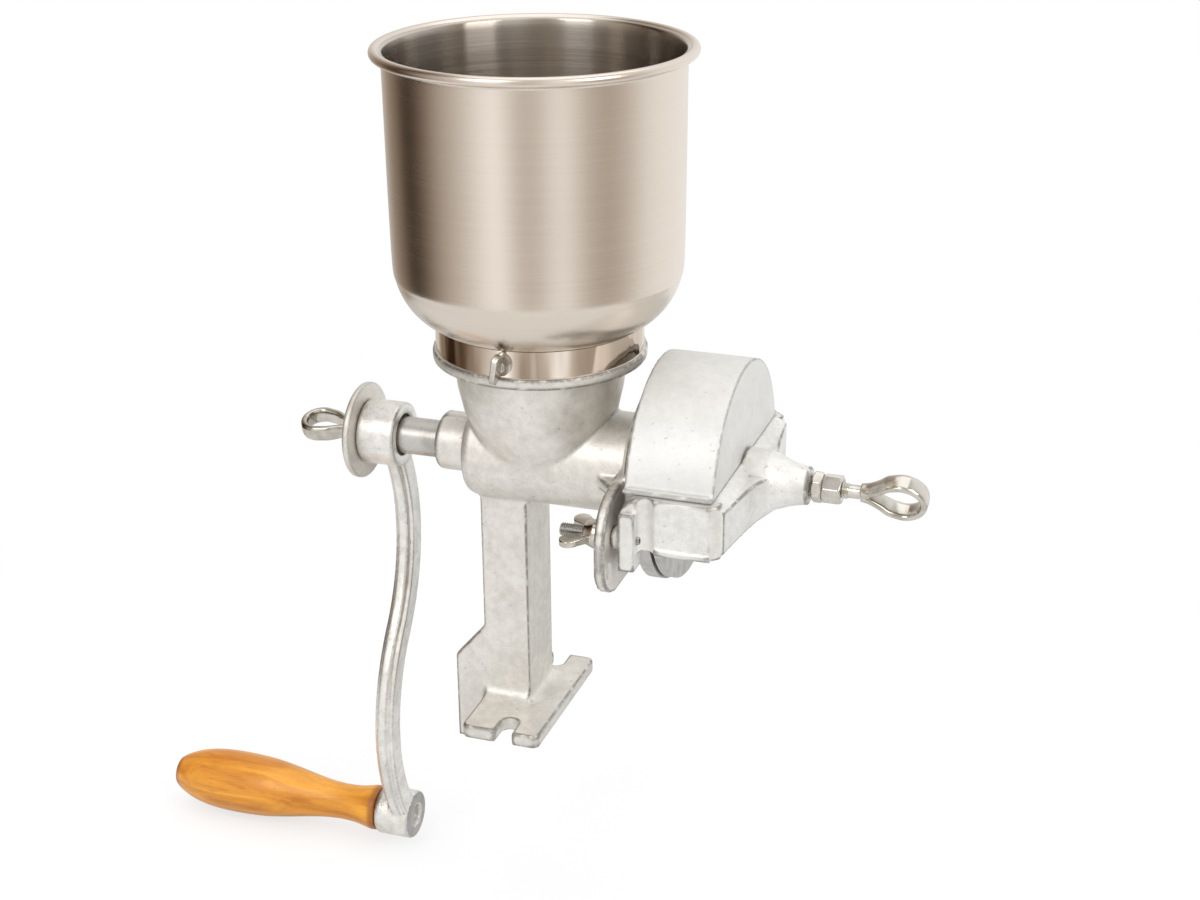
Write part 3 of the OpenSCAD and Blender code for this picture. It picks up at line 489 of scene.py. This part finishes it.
def hex_nut(name, x0, thickness, roll):
    """A hexagon nut on the adjusting screw, with chamfered corners and a bore."""
    count, lead, lip = 96, 0.35, 0.5
    steps = (0.0, 0.25, 0.6, 1.0, 1.5)
    levels = [*steps, thickness / 2, *(thickness - step for step in reversed(steps))]

    def ring(x, radius_of):
        return [(x0 + x, radius_of(k) * math.cos(2 * math.pi * k / count + roll),
                 AXIS + radius_of(k) * math.sin(2 * math.pi * k / count + roll)) for k in range(count)]

    def hexagon(k):
        a = (2 * math.pi * k / count) % (math.pi / 3) - math.pi / 6
        return NUT_FLATS / 2 / math.cos(a)

    rows = [ring(lead, lambda k: SCREW_RADIUS), ring(0.0, lambda k: SCREW_RADIUS + lip)]
    for level in levels:
        limit = NUT_FLATS / 2 * 0.955 + min(level, thickness - level) * 1.75
        rows.append(ring(level, lambda k, limit=limit: min(hexagon(k), limit)))
    rows.append(ring(thickness, lambda k: SCREW_RADIUS + lip))
    rows.append(ring(thickness - lead, lambda k: SCREW_RADIUS))
    return grid_mesh(name, rows, close_rows=True)


def clear_bore(mesh):
    """Opens the yoke's bore along the mill's axis, so that the shaft runs free in it."""
    radius = YOKE_BORE_RADIUS * MM
    for vertex in mesh.vertices:
        y, z = vertex.co.y, vertex.co.z - AXIS * MM
        reach = math.hypot(y, z)
        if YOKE_BORE_FROM * MM < vertex.co.x < YOKE_BORE_TO * MM and 0.0 < reach < radius:
            vertex.co.y = y * radius / reach
            vertex.co.z = z * radius / reach + AXIS * MM


def face_hub(mesh):
    """Gives the flat end of the crank's lower hub, which faces +X, a machined face."""
    mesh.materials.append(HUB_FACE)
    for face in mesh.polygons:
        reach = math.hypot(face.center.y, face.center.z - HANDLE_Z * MM)
        in_ring = HUB_RING_IN * MM < reach < HUB_RING_OUT * MM
        if face.normal.x > 0.8 and face.center.x > (HUB_END - 1.0) * MM and in_ring:
            face.material_index = 1


# Castings and forgings: part, body, material, slot, voxel in millimetres, smoothing passes, share of faces kept
FORMED = (
    ("mill_body", "frame", CAST, "body_casting", 1.0, 5, 0.5),
    ("yoke", "frame", CAST_YOKE, "yoke_casting", 0.8, 5, 0.5),
    ("burr_cover", "cover", CAST_COVER, "cover_casting", 0.7, 5, 0.5),
    ("crank_arm", "crank_train", CAST_ARM, "crank_casting", 0.7, 14, 0.5),
    ("crank_washer", "crank_washer", CAST_WASHER, "washer_steel", 0.5, 4, 0.6),
    ("wing_nut_near", "near_wing_nut", NICKEL, "nickel_screws", 0.35, 4, 0.5),
    ("wing_nut_far", "far_wing_nut", NICKEL, "nickel_screws", 0.35, 4, 0.5),
    ("hopper_thumb_screw", "hopper_screw", NICKEL, "nickel_screws", 0.25, 4, 0.5),
)
FITTED = {"yoke": clear_bore, "crank_arm": face_hub}
for node, body, material, slot, voxel, passes, keep in FORMED:
    mesh = rounded_copy(node, voxel, passes, keep)
    new_piece(node + "_form", mesh, body, material, node)
    if node in FITTED:
        FITTED[node](mesh)


def bowl_profile():
    """Lines of (radius, height) round the sheet of the bowl: its outside, its inside and its rolled rim."""
    steps, bottom = 6, 14  # points from each place to the next, and points in the bottom
    outside = smooth_line([
        (69.9, RIM - 3.2), (69.5, RIM - 12.0), (69.1, BOWL + 60.0), (68.6, BOWL + 30.0), (67.5, BOWL + 22.5),
        (65.25, BOWL + 16.0), (61.9, BOWL + 10.2), (57.4, BOWL + 5.3), (53.0, BOWL + 2.0),
        (49.8, BOWL + 0.25), (47.5, BOWL + 0.05), (44.7, BOWL)], steps)
    inside = [(69.7, RIM + 1.0), (69.05, RIM + 0.5), (68.75, RIM - 0.4), (68.6, RIM - 3.4)]
    inside += [(r - 1.15, h + 0.35) for r, h in outside[steps:-bottom]]
    inside += [(r - 0.2, h + 1.2) for r, h in outside[-bottom:]]
    bead = []
    for k in range(15):
        a = math.radians(154 - k * 18.8)
        bead.append((BEAD_CENTRE + BEAD_RADIUS * math.cos(a), RIM + BEAD_RADIUS * math.sin(a)))
    return outside, inside[::-1], bead


def hopper_bowl():
    """The bowl, with the inside of its sheet in a darker material of its own, painted shade."""
    outside, inside, bead = bowl_profile()
    sides = 192
    mesh = turned_up("bowl", outside + inside + bead, sides)
    new_piece("hopper_bowl_form", mesh, "hopper", BOWL_STEEL, "hopper_bowl")
    mesh.materials.append(BOWL_INSIDE_SHADED)
    for face in mesh.polygons:
        if len(outside) <= face.index // sides < len(outside) + len(inside):
            face.material_index = 1


def grip_profile():
    """Line of (x, radius) round the grip, from the hub to the outer end and back through its bore."""
    shape = [(0.0, 0.66), (0.006, 0.705), (0.03, 0.715), (0.06, 0.67), (0.1, 0.61), (0.15, 0.58), (0.2, 0.58),
             (0.27, 0.625), (0.35, 0.72), (0.44, 0.84), (0.53, 0.94), (0.61, 0.985), (0.69, 1.0), (0.77, 0.985),
             (0.84, 0.93), (0.9, 0.835), (0.95, 0.70), (0.98, 0.59), (1.0, 0.49)]
    line = smooth_line([(GRIP_START - GRIP_LENGTH * s, GRIP_RADIUS * r) for s, r in shape], 5)
    seat = GRIP_END + GRIP_RECESS_DEPTH
    return line + [(GRIP_END, GRIP_RECESS), (seat, GRIP_RECESS), (seat, GRIP_BORE), (GRIP_START, GRIP_BORE)]


hopper_bowl()
new_piece("handle_grip_form", turned_along("grip", grip_profile(), HANDLE_Z, 72, True), "grip", WOOD,
          "handle_grip")

# Adjusting screw with its thread, plain neck and finger loop
adjuster = [
    threaded("thread", 121.9, 162.0, SCREW_RADIUS, SCREW_PITCH, 0.0, AXIS),
    turned_along("neck", [(161.0, 3.1), (162.2, 3.3), (168.5, 3.25), (171.5, 3.1), (172.5, 2.4)], AXIS, 40),
    band_loop("loop", 168.5, 31.0, 24.0, 9.5, 27, 1),
]
new_piece("adjusting_screw_form", joined("adjuster", adjuster), "adjuster", NICKEL, "adjusting_screw")

# Thumb screw of the crank with its thread, collar and finger loop
collar = [(-90.0, 6.2), (-89.6, 6.8), (-89.0, 7.0), (-88.0, 7.0), (-87.55, 6.7)]
thumb = [
    threaded("thumb_thread", -89.0, -60.0, SCREW_RADIUS, SCREW_PITCH, 0.0, AXIS),
    turned_along("thumb_collar", collar, AXIS, 48),
    band_loop("thumb_loop", -89.5, 30.5, 20.0, 8.0, -76, -1),
]
new_piece("crank_thumb_screw_form", joined("thumb", thumb), "thumb_screw", NICKEL, "crank_thumb_screw")

for word, x, thickness, roll in (("inner", 145.0, 5.0, 0.35), ("outer", 150.0, 9.0, 0.75)):
    part = word + "_lock_nut"
    new_piece(part + "_form", hex_nut(word, x, thickness, roll), "adjuster", NICKEL, part)

for word, side in (("near", -1), ("far", 1)):
    part = "yoke_stud_" + word
    stud = threaded("stud", 40.5, 78.7, STUD_RADIUS, STUD_PITCH, side * STUD_Y, STUD_Z)
    new_piece(part + "_form", stud, "frame", PLAIN, part)

# Parts that keep their own shape
DRESSED = {
    "fixed_burr": IRON, "turning_burr": IRON, "burr_screws": PLAIN, "thrust_ball": BALL, "drive_shaft": SHAFT,
    "feed_auger": AUGER, "drive_pin": PLAIN, "handle_pin": PLAIN, "handle_washer": PLAIN, "hopper_collar": BAND,
    "hopper_nut": NICKEL, "wing_washer_near": WASHER, "wing_washer_far": WASHER,
}
for node, material in DRESSED.items():
    nodes[node].data.materials.clear()
    nodes[node].data.materials.append(material)


def lay_floor(scene):
    """A pale floor that keeps the object's shadow and turns white towards its edge; polished metal sees its front
    brighter than its back, a painted pool of light.
    """
    mesh = bpy.data.meshes.new("floor")
    work = bmesh.new()
    bmesh.ops.create_circle(work, cap_ends=True, segments=96, radius=FLOOR_RADIUS)
    work.to_mesh(mesh)
    work.free()
    floor = bpy.data.objects.new("floor", mesh)
    floor.location = (0.0, 0.0, FLOOR_Z)
    scene.collection.objects.link(floor)
    material, shader, at = new_material("floor_white", Roughness=0.9, Specular_IOR_Level=0.1)
    tree = material.node_tree
    camera_ray, glossy_ray, through_ray = (
        at.add("ShaderNodeLightPath", name) for name in ("Is Camera Ray", "Is Glossy Ray", "Is Transmission Ray"))
    # Painted light: to polished metal the front of the floor shows bright and its back dim, as if the front lamps
    # lit it
    mirrored = glossy_ray * at.part(1).between(-0.05, 0.25, 0.55, 0.1)
    seen = at.maths("MINIMUM", camera_ray + mirrored + through_ray, 1.0)
    feed(shader, seen.mix(grey(0.58), grey(0.94)), "Base Color")
    share = seen * at.length().between(0.30, 0.56, 0.70, 1.0)
    white = at.add("ShaderNodeEmission")
    matt = Value(tree, shader.outputs[0])
    blend = at.add("ShaderNodeMixShader", 0, None, i0=share, i1=matt, i2=white)
    feed(tree.nodes["Material Output"], blend, "Surface")
    mesh.materials.append(material)


def light_surroundings(scene):
    """White to the camera, panels to polished metal, and an even soft light to the rest."""
    world = bpy.data.worlds.new("studio")
    scene.world = world
    world.use_nodes = True
    tree = world.node_tree
    way = Value(tree).add("ShaderNodeTexCoord", "Generated")
    camera_ray = way.add("ShaderNodeLightPath", "Is Camera Ray")
    glossy_ray = way.add("ShaderNodeLightPath", "Is Glossy Ray")
    turn = way.maths("ARCTAN2", way.part(0), -1.0 * way.part(1)) / (2 * math.pi) + (0.5 - PANEL_TURN / 360)
    stops = [(place, rgb(level, min(level, level ** 1.2), min(level, level ** 1.42))) for place, level in PANELS]
    panels = way.add("ShaderNodeValToRGB", 0, {"stops": stops}, Fac=way.maths("FRACT", turn))
    mirrored = way.part(2).between(0.75, 0.97).mix(panels, grey(0.7))
    soft = way.along(-0.04, -0.22, 0.26) + 0.74
    feed(tree.nodes["Background"], camera_ray.mix(glossy_ray.mix(soft, mirrored), grey(1.0)), "Color")


def hang_lamps(scene):
    """Large soft lamps, all aimed at the middle of the mill."""
    for name, place, width, height, power in LAMPS:
        data = bpy.data.lights.new(name, "AREA")
        data.shape = "RECTANGLE"
        data.size, data.size_y, data.energy = width, height, power
        lamp = bpy.data.objects.new(name, data)
        lamp.location = place
        lamp.rotation_mode = "QUATERNION"
        lamp.rotation_quaternion = (Vector(LAMP_AIM) - Vector(place)).to_track_quat("-Z", "Y")
        scene.collection.objects.link(lamp)


def set_camera(scene):
    """The photograph's camera."""
    data = bpy.data.cameras.new("camera")
    camera = bpy.data.objects.new("camera", data)
    scene.collection.objects.link(camera)
    scene.camera = camera
    yaw, pitch, roll = (math.radians(a) for a in (CAMERA_YAW, CAMERA_PITCH, CAMERA_ROLL))
    ahead = Vector((-math.sin(yaw), math.cos(yaw), 0.0))
    right = Vector((math.cos(yaw), math.sin(yaw), 0.0))
    up = Vector((0.0, 0.0, 1.0))
    view = ahead * math.cos(pitch) - up * math.sin(pitch)
    top = ahead * math.sin(pitch) + up * math.cos(pitch)
    side = right * math.cos(roll) + top * math.sin(roll)
    top = -right * math.sin(roll) + top * math.cos(roll)
    turn = Matrix((side, top, -view)).transposed()
    camera.matrix_world = Matrix.Translation(CAMERA_PLACE) @ turn.to_4x4()
    data.sensor_fit = "HORIZONTAL"
    data.sensor_width = SENSOR_WIDTH
    data.lens = SENSOR_WIDTH * CAMERA_FOCUS / PICTURE_WIDTH
    data.clip_start, data.clip_end = 0.01, 50.0
    scene.view_settings.view_transform = "Standard"


for prepare in (lay_floor, light_surroundings, hang_lamps, set_camera):
    prepare(bpy.context.scene)
